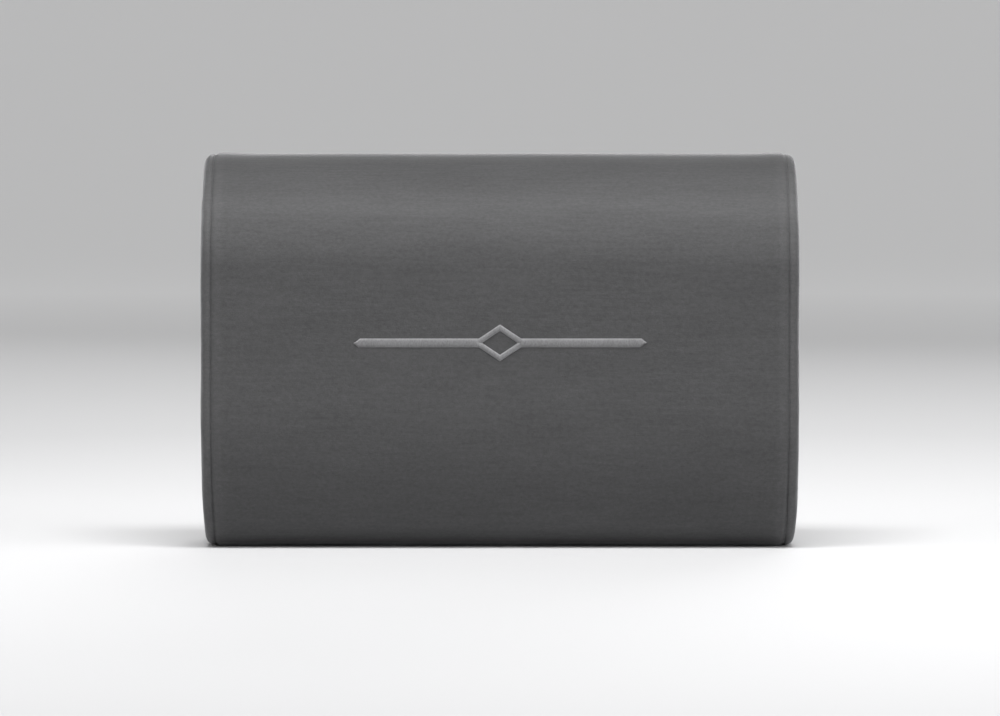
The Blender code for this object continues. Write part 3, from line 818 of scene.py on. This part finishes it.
def seam_light_tone(distance):
    """Painted light at a seam: a third (painted shade) in its dip, 1 (painted highlight) on its roll,
    and a half well away from it.
    """
    roll = 0.5 * math.exp(-(((distance - 3 * MM) / (2 * MM)) ** 2))
    return clamped(0.5 + roll - 0.2 * math.exp(-((distance / (1.1 * MM)) ** 2)))


def painted_top_shade(z):
    """Painted shade over the top edge: 0 up to the top's edge, rising to 1 at the very top."""
    return clamped((z - TOP_SHADE_START) / (HEIGHT - TOP_SHADE_START)) ** 1.2


def pucker(along, distance, strength=0.3 * MM):
    """Small gathers that fade away from a seam."""
    gathers = 0.6 * ripple((along, 0, 0), 7 * MM, 3) + ripple((along, 0.1, 0), 19 * MM, 5)
    share = distance / (6 * MM)
    return strength * gathers * share * math.exp(1 - share) * math.exp(-distance / (25 * MM))


def kept_inside(place):
    place.z = max(place.z, LOWEST)
    place.y = min(place.y, REARMOST)
    return place


def cover_piece(name, node, verts, faces, painted_lights, near, outward, material):
    """One panel of the cover: a skin given its thickness, stuffed tight."""
    panel = mesh_object(name, verts, faces, material)
    # painted shade in the seams' dips and painted highlights on their rolled edges
    set_attribute(panel, "painted_seam_light", painted_lights)
    # painted shade over the top edge
    set_attribute(panel, "crown", [painted_top_shade(v[2]) for v in verts])
    face_towards(panel, near, outward)
    thicken(panel, CLOTH)
    attach(panel, "cushion", "velour", node)
    return panel


def front_panel(material, swelling):
    """The base, front, slanted shoulder and top, as one piece of cloth."""
    rows = graded(WRAP_LENGTH, 3 * MM, 0.5 * MM)
    columns = graded(2 * SEAM_X, 3 * MM, 0.45 * MM) - SEAM_X
    points, normals = along_wrap(rows)
    moved = np.zeros((len(rows), len(columns), 3))
    if swelling:
        sim_rows, sim_columns, table = swelling
        moved = resampled(table, sim_rows, sim_columns, rows, columns)
    verts, painted_lights = [], []
    for r, s in enumerate(rows):
        end_gap = min(s, WRAP_LENGTH - s)
        end_lip = lip_height(end_gap, 0.25 * MM, 1.0 * MM)
        # weaker painted seam shade and highlight near the top and bottom back seams
        end_seam_light = 0.5 + 0.5 * seam_light_tone(end_gap)
        y, z = points[r]
        normal = Vector((0, *normals[r]))
        for c, x in enumerate(columns):
            side_gap = SEAM_X - abs(x)
            height = end_lip + lip_height(side_gap) + pucker(s + (0.7 if x > 0 else 0), side_gap)
            height += 0.18 * MM * ripple((x, y, z), 40 * MM, 1)
            freedom = min(1, side_gap / (12 * MM))
            place = Vector((bowed(x, z), y, z)) + normal * height + Vector(moved[r, c]) * freedom
            verts.append(kept_inside(place))
            painted_lights.append(min(seam_light_tone(side_gap), end_seam_light))
    faces = grid_faces(len(rows), len(columns))
    near, outward = (0, FRONT_Y, HEIGHT / 2), (0, -1, 0)
    return cover_piece("cover_front", "cover_front_panel", verts, faces, painted_lights, near, outward, material)


def end_panel(name, node, side, material, swelling):
    """A domed end panel with a rolled edge."""
    wrap_s = graded(WRAP_LENGTH, 3 * MM, 1 * MM)
    rim, normals = whole_outline(wrap_s, 64)
    lengths = round_lengths(rim)
    insets = DOME[:, 0]
    moved = np.zeros((len(insets), len(rim), 3))
    if swelling:
        sim_insets, sim_lengths, tables = swelling
        moved = resampled(tables[side > 0], sim_insets, sim_lengths, insets, lengths)
    verts, painted_lights = [], []
    travelled = round_lengths(DOME)
    for n, (inset, height) in enumerate(DOME):
        gap = travelled[n]
        freedom = min(1, gap / (8 * MM))
        for k, (y, z) in enumerate(gusset_ring(rim, normals, inset)):
            x = bowed(SEAM_X, z) + height + pucker(lengths[k] + 3.3 + side, gap, 0.4 * MM)
            x += 0.25 * MM * freedom * ripple((side, y, z), 35 * MM, 2)
            place = Vector((side * x, y, z)) + Vector(moved[n, k]) * (0.25 * freedom)
            verts.append(kept_inside(place))
            # painted shade in the seam's dip and a painted highlight on the rolled edge
            painted_lights.append(seam_light_tone(gap))
    verts.append(sum(verts[-len(rim) :], Vector()) / len(rim))
    painted_lights.append(0.5)
    faces = grid_faces(len(insets), len(rim), closed=True)
    faces += fan_faces((len(insets) - 1) * len(rim), len(rim), len(verts) - 1)
    near, outward = (side * HALF_WIDTH, *GUSSET_MIDDLE), (side, 0, 0)
    return cover_piece(name, node, verts, faces, painted_lights, near, outward, material)


WINDOW_REACH = 5.4 * MM
WINDOW_HALF = ZIP_HALF + 9 * MM


def window_edge(x):
    """Height of a back panel's folded edge from the zip's middle: the two meet past the zip."""
    closing, least = 5 * MM, 0.15 * MM
    share = clamped((abs(x) - WINDOW_HALF + closing) / closing)
    return least + (WINDOW_REACH - least) * (1 - share * share * (3 - 2 * share))


def back_panel(name, node, side, material):
    """Half of the flat back, above (1) or below (-1) the zip, its edge folded in along it."""
    columns = graded(2 * SEAM_X, 3 * MM, 0.5 * MM) - SEAM_X
    seam_z = HEIGHT - TOP_BACK_RADIUS if side > 0 else BOTTOM_BACK_RADIUS
    shares = graded(1.0, 0.03, 0.003, 0.08)
    verts, painted_lights = [], []
    for share in shares:
        for x in columns:
            edge = ZIP_Z + side * window_edge(x)
            z = edge + (seam_z - edge) * share
            gap = min(SEAM_X - abs(x), abs(seam_z - z))
            fold = abs(z - edge)
            y = BACK_Y + lip_height(gap, 0.12 * MM, 1.0 * MM) - 0.1 * MM
            y += 0.12 * MM * ripple((x, 0, z), 30 * MM, 9)
            y -= 1.1 * MM * math.exp(-((fold / (0.7 * MM)) ** 2))
            verts.append((bowed(x, z), min(y, REARMOST), z))
            # painted shade and highlight at the seams and along the folded zip edge
            painted_lights.append(seam_light_tone(min(gap, fold + 1 * MM)))
    faces = grid_faces(len(shares), len(columns))
    near, outward = (0, BACK_Y, (ZIP_Z + seam_z) / 2), REARWARD
    return cover_piece(name, node, verts, faces, painted_lights, near, outward, material)


def surface_of(thing):
    """Returns a function from (x, z) to the y of a piece's surface seen from the front."""
    mesh = thing.data
    tree = BVHTree.FromPolygons([v.co for v in mesh.vertices], [p.vertices[:] for p in mesh.polygons])

    def surface(x, z):
        return tree.ray_cast(Vector((x, -1, z)), Vector((0, 1, 0)))[0].y

    return surface


def filling(name, node, sections, room, material, slot):
    """A closed block inside the cover, from (half width, inset) sections, its back `room` in."""
    rim, normals = whole_outline(graded(WRAP_LENGTH, 6 * MM, 2 * MM), 34)
    halves = [(-x, inset) for x, inset in sections]
    halves += [(x, inset) for x, inset in reversed(sections)]
    verts = []
    for x, inset in halves:
        ring = rim - normals * inset * MM
        ring[:, 0] = np.minimum(ring[:, 0], BACK_Y - room)
        for y, z in ring:
            lump = 0.4 * MM * ripple((x * MM, y, z), 45 * MM, 11)
            verts.append((x * MM, y + lump, z + max(lump, 0)))
    faces = grid_faces(len(halves), len(rim), closed=True)
    last = len(verts) - len(rim)
    for first, x in ((0, halves[0][0]), (last, halves[-1][0])):
        verts.append((x * MM, *GUSSET_MIDDLE))
        fan = fan_faces(first, len(rim), len(verts) - 1)
        faces += fan if first else [(b, a, middle) for a, b, middle in fan]
    block = mesh_object(name, verts, faces, material)
    face_outward(block)
    attach(block, "cushion", slot, node)
    return block


def make_filling():
    # (half width, inset) in mm, from the ends to the middle
    bag = [(157, 14), (156.2, 8), (154.5, 5), (152, 3.6), (148, 2.5), (100, 2.3), (50, 2.2)]
    core = [(155.5, 15), (154.8, 10), (153, 6.6), (150.5, 5), (146, 3.8), (100, 3.5), (50, 3.4)]
    lining = filling("inner_bag", "inner_liner", bag, 5.8 * MM, lining_cloth(), "lining")
    thicken(lining, 0.5 * MM)
    filling("foam_block", "foam_core", core, 6.9 * MM, foam_cells(), "foam")


# ---------- stitched motif and label


def make_motif(front):
    """The lozenge and its two bars in satin stitch, lying on the front."""
    low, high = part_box("front_emblem")
    centre = (low.z + high.z) / 2
    half_height, half_width = (high.z - low.z) / 2, 15 * MM
    bar_half, bar_end = 2.6 * MM, high.x
    hole_width, hole_height = 9.5 * MM, 6.3 * MM
    bar_start = half_width * (1 - bar_half / half_height)
    pitch, slant = 0.42 * MM, 0.5 * MM
    surface = surface_of(front)
    work = Strands()

    def across(x0, z0, x1, z1):
        start = Vector((x0, surface(x0, centre + z0), centre + z0))
        end = Vector((x1, surface(x1, centre + z1), centre + z1))
        work.stitch(start, end, (0, -1, 0), 0.25 * MM, 0.33 * MM)

    steps = round((bar_end - bar_start) / pitch)
    for k in range(steps):
        x = bar_start + (bar_end - bar_start) * (k + 0.5) / steps
        reach = min(bar_half, bar_end - x)
        for side in (-1, 1):
            across(side * x - slant, -reach, side * x + slant, reach)
    limb = math.hypot(half_width, half_height)
    steps = round(limb / pitch)
    for right in (-1, 1):
        for up in (-1, 1):
            for k in range(steps):
                t = (k + 0.5) / steps
                outer = (right * half_width * (1 - t), up * half_height * t)
                inner = (right * hole_width * (1 - t), up * hole_height * t)
                across(*outer, *inner)
    motif = work.make("front_motif", thread("motif_thread", (0.178, 0.178, 0.182)))
    attach(motif, "cushion", "thread", "front_emblem")


def make_label(dark):
    """A blank label with folded ends, stitched flat below the zip."""
    low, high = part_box("care_label")
    thickness, hem = 0.35 * MM, 3 * MM
    columns = np.linspace(low.x, high.x, 61)
    rows = np.linspace(low.z, high.z, 31)
    verts = []
    for z in rows:
        for x in columns:
            edge = min(x - low.x, high.x - x)
            fold = 0.16 * MM if edge < hem else 0.0
            wave = 0.07 * MM * ripple((x, 0, z), 9 * MM, 13)
            verts.append((x, BACK_Y + 0.68 * MM + fold + wave, z))
    tag = mesh_object("label", verts, grid_faces(len(rows), len(columns)), label_cloth())
    face_towards(tag, (0, BACK_Y, (low.z + high.z) / 2), REARWARD)
    thicken(tag, thickness)
    attach(tag, "cushion", "label", "care_label")
    inset, y = 1.5 * MM, BACK_Y + 0.85 * MM
    border = rectangle(low.x + inset, high.x - inset, low.z + inset, high.z - inset, y)
    work = Strands()
    work.row(border, REARWARD, 2.0 * MM, 0.5 * MM, 0.17 * MM)
    attach(work.make("label_stitches", dark), "cushion", "thread")


# ---------- zip


def make_tape(name, node, side, material):
    """A woven tape with a thick edge that the coil is sewn to."""
    low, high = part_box(node)
    inner_edge = 2.6 * MM
    near = ZIP_Z + side * inner_edge
    far = high.z if side > 0 else low.z
    rows = (0, 0.02, 0.05, 0.09, 0.14, 0.2, 0.3, 0.45, 0.6, 0.75, 0.9, 1.0)
    half = ZIP_HALF + 13 * MM
    columns = np.linspace(-half, half, 221)
    y = (low.y + high.y) / 2 + 0.3 * MM
    verts = []
    for share in rows:
        for x in columns:
            closing = clamped((abs(x) - ZIP_HALF - 1.5 * MM) / (3 * MM))
            start = near - side * closing * (inner_edge - 0.1 * MM)
            z = start + (far - start) * share
            bead = 0.22 * MM * math.exp(-(((z - start) / (1.0 * MM)) ** 2))
            verts.append((x, y + bead + 0.05 * MM * ripple((x, 0, z), 12 * MM, 17), z))
    tape = mesh_object(name, verts, grid_faces(len(rows), len(columns)), material)
    face_towards(tape, (0, y, near), REARWARD)
    thicken(tape, 0.6 * MM)
    attach(tape, "cushion", "zip_tape", node)


def make_coil(name, node, side, material, dark):
    """A row of nylon coil: turns of filament that mesh with the other row's."""
    pitch, wire = 1.25 * MM, 0.3 * MM
    turns = round(2 * (ZIP_HALF - wire) / pitch)
    half_z, half_y, squareness = 1.3 * MM, 0.85 * MM, 0.8
    centre = ZIP_Z + side * 1.62 * MM
    steps = 14
    points = []
    for k in range(turns * steps + 1):
        angle = 2 * math.pi * k / steps
        x = -ZIP_HALF + wire + (k / steps) * pitch + (pitch / 2 if side > 0 else 0)
        z, y = math.cos(angle), math.sin(angle)
        z = math.copysign(abs(z) ** squareness, z) * half_z
        y = math.copysign(abs(y) ** squareness, y) * half_y
        points.append((min(x, ZIP_HALF - wire), ZIP_Y + y, centre + side * z))
    work = Strands()
    work.add(points, wire)
    attach(work.make(name, material), "cushion", "zip_coil", node)
    sewing = Strands(sides=5)
    for k in range(turns):
        x = -ZIP_HALF + (k + 0.5) * pitch
        y = ZIP_Y + half_y + wire
        start, end = centre + side * 0.1 * MM, centre + side * 1.75 * MM
        sewing.stitch((x - 0.3 * MM, y, start), (x + 0.3 * MM, y, end), REARWARD, 0.12 * MM, 0.08 * MM)
    attach(sewing.make(f"{name}_stitches", dark), "cushion", "thread")


def make_zip(dark):
    nylon, cloth, metal = coil_nylon(), tape_cloth(), zip_metal()
    for label, side in (("upper", 1), ("lower", -1)):
        make_tape(f"zip_tape_{label}", f"zipper_tape_{label}", side, cloth)
        make_coil(f"zip_coil_{label}", f"zipper_coil_{label}", side, nylon, dark)
    for node in ("zipper_top_stop_upper", "zipper_top_stop_lower", "zipper_bottom_stop"):
        refined(node, metal, "zip_metal", 0.3 * MM)
    refined("zipper_slider", metal, "zip_metal", 0.18 * MM)
    refined("zipper_pull_tab", metal, "zip_metal", 0.2 * MM)
    low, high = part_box("zipper_pull_tab")
    grip = Strands(sides=8)
    for k in range(5):
        x = low.x + (8.2 + 1.1 * k) * MM
        for y in (low.y, high.y):
            grip.add([(x, y, ZIP_Z - 1.6 * MM), (x, y, ZIP_Z), (x, y, ZIP_Z + 1.6 * MM)], 0.22 * MM)
    attach(grip.make("pull_tab_ribs", metal), "zip_pull", "zip_metal")
    reach, end = WINDOW_REACH + 2.3 * MM, WINDOW_HALF + 1.5 * MM
    work = Strands()
    low_z, high_z = ZIP_Z - reach, ZIP_Z + reach
    for side in (-1, 1):
        z, x = ZIP_Z + side * reach, side * end
        along = [(-end, BACK_Y, z), (end, BACK_Y, z)]
        across = [(x, BACK_Y, low_z), (x, BACK_Y, high_z)]
        work.row(along, REARWARD, 2.7 * MM, 0.5 * MM, 0.2 * MM, 0.12 * MM)
        work.row(across, REARWARD, 2.3 * MM, 0.4 * MM, 0.2 * MM, 0.12 * MM)
    attach(work.make("zip_topstitch", dark), "cushion", "thread")


# ---------- straps


def rounded_route(corners, radius):
    """(distance behind the panel, height) corners in mm as a smooth, evenly sampled route."""
    step = 0.7 * MM
    corners = [Vector(c) * MM for c in corners]
    route = [corners[0]]
    for before, here, after in zip(corners, corners[1:], corners[2:]):
        back, on = (before - here).normalized(), (after - here).normalized()
        room = min((before - here).length, (after - here).length) / 2
        reach = min(radius / math.tan(back.angle(on) / 2), room)
        first, last = here + back * reach, here + on * reach
        for k in range(9):
            t = k / 8
            route.append(first * (1 - t) ** 2 + here * 2 * t * (1 - t) + last * t * t)
    route.append(corners[-1])
    route = np.array(route)
    lengths = round_lengths(route)
    even = np.linspace(0, lengths[-1], max(2, round(lengths[-1] / step) + 1))
    return read_rows(even, lengths, route), even


def section(steps):
    """(place across from -1 to 1, face) round a strap's section, closest near the selvedges."""
    shares = np.sin(np.linspace(-math.pi / 2, math.pi / 2, steps))
    return [(a, 1) for a in shares] + [(a, -1) for a in shares[::-1][1:-1]]


def selvedge(a, squareness):
    """Share of a strap's thickness at a place across it: full, then rounded off at its edges."""
    return math.sqrt(max(0, 1 - abs(a) ** squareness))


def woven_band(name, verts, faces, places, material):
    """A closed band that keeps each point's place along and across it."""
    band = mesh_object(name, verts, faces, material)
    face_outward(band)
    for axis, values in zip(("along", "across"), zip(*places)):
        set_attribute(band, axis, values)
    return band


def strap(name, corners, x, size, material, radius=1.3):
    """A strip of webbing along a route, with rounded selvedges and raised ribs."""
    width, thickness = size
    route, along = rounded_route(corners, radius * MM)
    tangents = np.gradient(route, axis=0)
    tangents /= np.linalg.norm(tangents, axis=1)[:, None]
    loop = section(21)
    verts, places = [], []
    for (depth, z), (run, rise), s in zip(route, tangents, along):
        for a, face in loop:
            half = thickness / 2 * selvedge(a, 16) * (1 + 0.08 * math.cos(40 * a))
            weave = 0.06 * MM * ripple((a * width, 0, s), 6 * MM, 21)
            lift = face * half + weave
            verts.append((x + a * width / 2, BACK_Y + depth + rise * lift, z - run * lift))
            places.append((s, a * width / 2))
    faces = tube_faces(len(route), len(loop))
    return woven_band(name, verts, faces, places, material), along[-1]


def keeper_band(name, node, x, material):
    """A flat elastic loop round the doubled strap."""
    low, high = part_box(node)
    radius, wall = 1.2 * MM, 0.65 * MM
    half_x, half_y = (high.x - low.x) / 2 - wall / 2, (high.y - low.y) / 2 - wall / 2
    centre_y, centre_z = (high.y + low.y) / 2, (high.z + low.z) / 2
    half_width = (high.z - low.z) / 2
    path = []
    for sx, sy, start in ((1, 1, 0), (-1, 1, 90), (-1, -1, 180), (1, -1, 270)):
        corner = np.array((sx * (half_x - radius), sy * (half_y - radius)))
        for k in range(7):
            turn = unit(start + 15 * k)
            path.append((corner + turn * radius, turn))
    dense = []
    for (here, out), (there, next_out) in zip(path, path[1:] + path[:1]):
        count = max(1, round(math.dist(here, there) / (1.0 * MM)))
        for k in range(count):
            t = k / count
            point = here * (1 - t) + there * t
            normal = out * (1 - t) + next_out * t
            dense.append((point, normal / np.linalg.norm(normal)))
    loop = section(11)
    verts, places = [], []
    travelled = 0.0
    for n, (point, normal) in enumerate(dense):
        travelled += float(np.linalg.norm(point - dense[n - 1][0])) if n else 0.0
        for a, face in loop:
            lift = face * wall / 2 * selvedge(a, 12)
            px, py = point + normal * lift
            verts.append((x + px, centre_y + py, centre_z + a * half_width))
            places.append((travelled, a * half_width))
    faces = grid_faces(len(dense), len(loop), closed=True, ring=True)
    return woven_band(name, verts, faces, places, material)


def bartack(at, half, reach, material, name):
    """A dense row of short stitches across a strap."""
    x, y, z = at
    work = Strands(sides=5)
    count = round(2 * half / (0.45 * MM))
    for k in range(count):
        here = x - half + 2 * half * (k + 0.5) / count
        start, end = (here - 0.15 * MM, y, z - reach), (here + 0.15 * MM, y, z + reach)
        work.stitch(start, end, REARWARD, 0.2 * MM, 0.16 * MM)
    return work.make(name, material)


class StrapLooks:
    """The materials that the straps' pieces share."""

    def __init__(self, dark):
        self.elastic = webbing("elastic", (0.024, 0.024, 0.025), 1.15 * MM, 0.9 * MM, 0.2)
        self.woven = webbing("woven_webbing", (0.022, 0.022, 0.023), 1.7 * MM, 1.3 * MM, 0.1)
        self.plastic = plastic("buckle", (0.018, 0.018, 0.019), 0.46)
        self.dark = dark


def upper_strap(label, x, looks):
    """The doubled elastic, and the part of it that the adjuster carries over its middle bar."""
    # distance behind the panel and height, in mm
    down = [(1.05, 197.2), (1.05, 193.5), (1.9, 190), (1.9, 112), (2.6, 106.2), (2.6, 98.95)]
    corners = down + [(8.6, 98.95), (8.6, 106.2), (3.6, 112), (3.6, 190)]
    size = (STRAP_WIDTH, STRAP_THICKNESS)
    band, length = strap(f"upper_elastic_{label}", corners, x, size, looks.elastic)
    attach(band, "cushion", "webbing", f"upper_strap_{label}")
    low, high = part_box(f"strap_adjuster_{label}")
    z = (low.z + high.z) / 2 / MM
    over = [(3.1, z + 9.6), (3.75, z + 7.2), (9.7, z + 3.4)]
    over += [(depth, 2 * z - height) for depth, height in reversed(over)]
    under = [(3.2, z + 5.3), (8.0, z + 2.35), (8.0, z - 2.35), (3.2, z - 5.3)]
    width, thickness = STRAP_WIDTH - 0.4 * MM, STRAP_THICKNESS - 0.05 * MM
    for name, route in (("over", over), ("under", under)):
        piece = f"adjuster_{name}_{label}"
        loop, length = strap(piece, route, x, (width, thickness), looks.elastic)
        attach(loop, f"adjuster_{label}", "webbing")
    # depth behind the panel, height and half length of each row of stitches, in mm
    tacks = (("upper_tack", 1.72, 194.6, 0.9), ("tail_tack", 4.27, 188.2, 0.8))
    for name, depth, height, reach in tacks:
        at = (x, BACK_Y + depth * MM, height * MM)
        tack = bartack(at, 11.3 * MM, reach * MM, looks.dark, f"{name}_{label}")
        attach(tack, "cushion", "thread")


def lower_strap(label, x, looks):
    """Short webbing round the plug's bar, sewn back on itself."""
    sewn, bar = 8.6, 44.6
    up = [(1.1, sewn), (1.1, 31), (2.35, 36), (2.35, bar)]
    corners = up + [(8.85, bar), (8.85, 36.5), (2.9, 30), (2.9, 13)]
    size = (STRAP_WIDTH, STRAP_THICKNESS)
    band, length = strap(f"lower_webbing_{label}", corners, x, size, looks.woven, radius=1.5)
    # from where the webbing is sewn down to where it is all carried by the plug
    start, end = (x, BACK_Y, sewn * MM), (x, BACK_Y, 39 * MM)
    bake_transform(band)
    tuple(start)
    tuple(end)
    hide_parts(f"lower_strap_{label}")
    y, half, low, high = BACK_Y + 3.57 * MM, 9.5 * MM, 14.6 * MM, 27.6 * MM
    border = rectangle(x - half, x + half, low, high, y)
    work = Strands(sides=5)
    for route in (border, [border[0], border[2]], [border[3], border[1]]):
        work.row(route, REARWARD, 2.2 * MM, 0.45 * MM, 0.2 * MM, 0.14 * MM)
    stitches = work.make(f"box_stitch_{label}", looks.dark)
    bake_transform(stitches)
    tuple(start)
    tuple(end)


def buckle(label, x, side, looks):
    """The adjuster and the buckle's two halves, with the ribs that fingers grip."""
    widths = {
        "strap_adjuster": 0.35,
        "buckle_socket": 0.35,
        "buckle_plug": 0.3,
        "buckle_arm_outer": 0.3,
        "buckle_arm_inner": 0.3,
    }
    for part, width in widths.items():
        refined(f"{part}_{label}", looks.plastic, "buckle", width * MM)
    for part, way in (("outer", side), ("inner", -side)):
        low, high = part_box(f"buckle_arm_{part}_{label}")
        here = (high.x if way > 0 else low.x) - way * 0.22 * MM
        ends = (low.y + 0.8 * MM, (low.y + high.y) / 2, high.y - 0.8 * MM)
        grip = Strands(sides=8)
        for height in (74.3, 75.6, 76.9, 78.2):
            grip.add([(here, y, height * MM) for y in ends], 0.3 * MM)
        attach(grip.make(f"arm_grip_{part}_{label}", looks.plastic), f"arm_{part}_{label}", "buckle")
    low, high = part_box(f"buckle_socket_{label}")
    ribs = Strands(sides=8)
    for height, half in ((64.2, 9), (66.0, 7), (67.8, 5)):
        places = (x - half * MM, x, x + half * MM)
        ribs.add([(place, high.y, height * MM) for place in places], 0.38 * MM)
    attach(ribs.make(f"socket_ribs_{label}", looks.plastic), "cushion", "buckle")


def make_straps(dark):
    looks = StrapLooks(dark)
    for label, side in (("left", -1), ("right", 1)):
        low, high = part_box(f"upper_strap_{label}")
        x = (low.x + high.x) / 2
        upper_strap(label, x, looks)
        lower_strap(label, x, looks)
        keeper = keeper_band(f"keeper_{label}", f"strap_keeper_{label}", x, looks.elastic)
        attach(keeper, f"keeper_{label}", "webbing", f"strap_keeper_{label}")
        buckle(label, x, side, looks)


# ---------- the whole


def make_cover():
    """Makes the five panels and returns the front one."""
    cloth = velour()
    front_swelling, end_swelling = swell()
    front = front_panel(cloth, front_swelling)
    end_panel("end_panel_left", "cover_gusset_left", -1, cloth, end_swelling)
    end_panel("end_panel_right", "cover_gusset_right", 1, cloth, end_swelling)
    back_panel("back_panel_upper", "cover_back_upper", 1, cloth)
    back_panel("back_panel_lower", "cover_back_lower", -1, cloth)
    return front


make_camera()
make_stage()
make_lights()
front = make_cover()
make_filling()
dark_thread = thread("dark_thread", (0.03, 0.03, 0.031))
make_motif(front)
make_label(dark_thread)
make_zip(dark_thread)
make_straps(dark_thread)
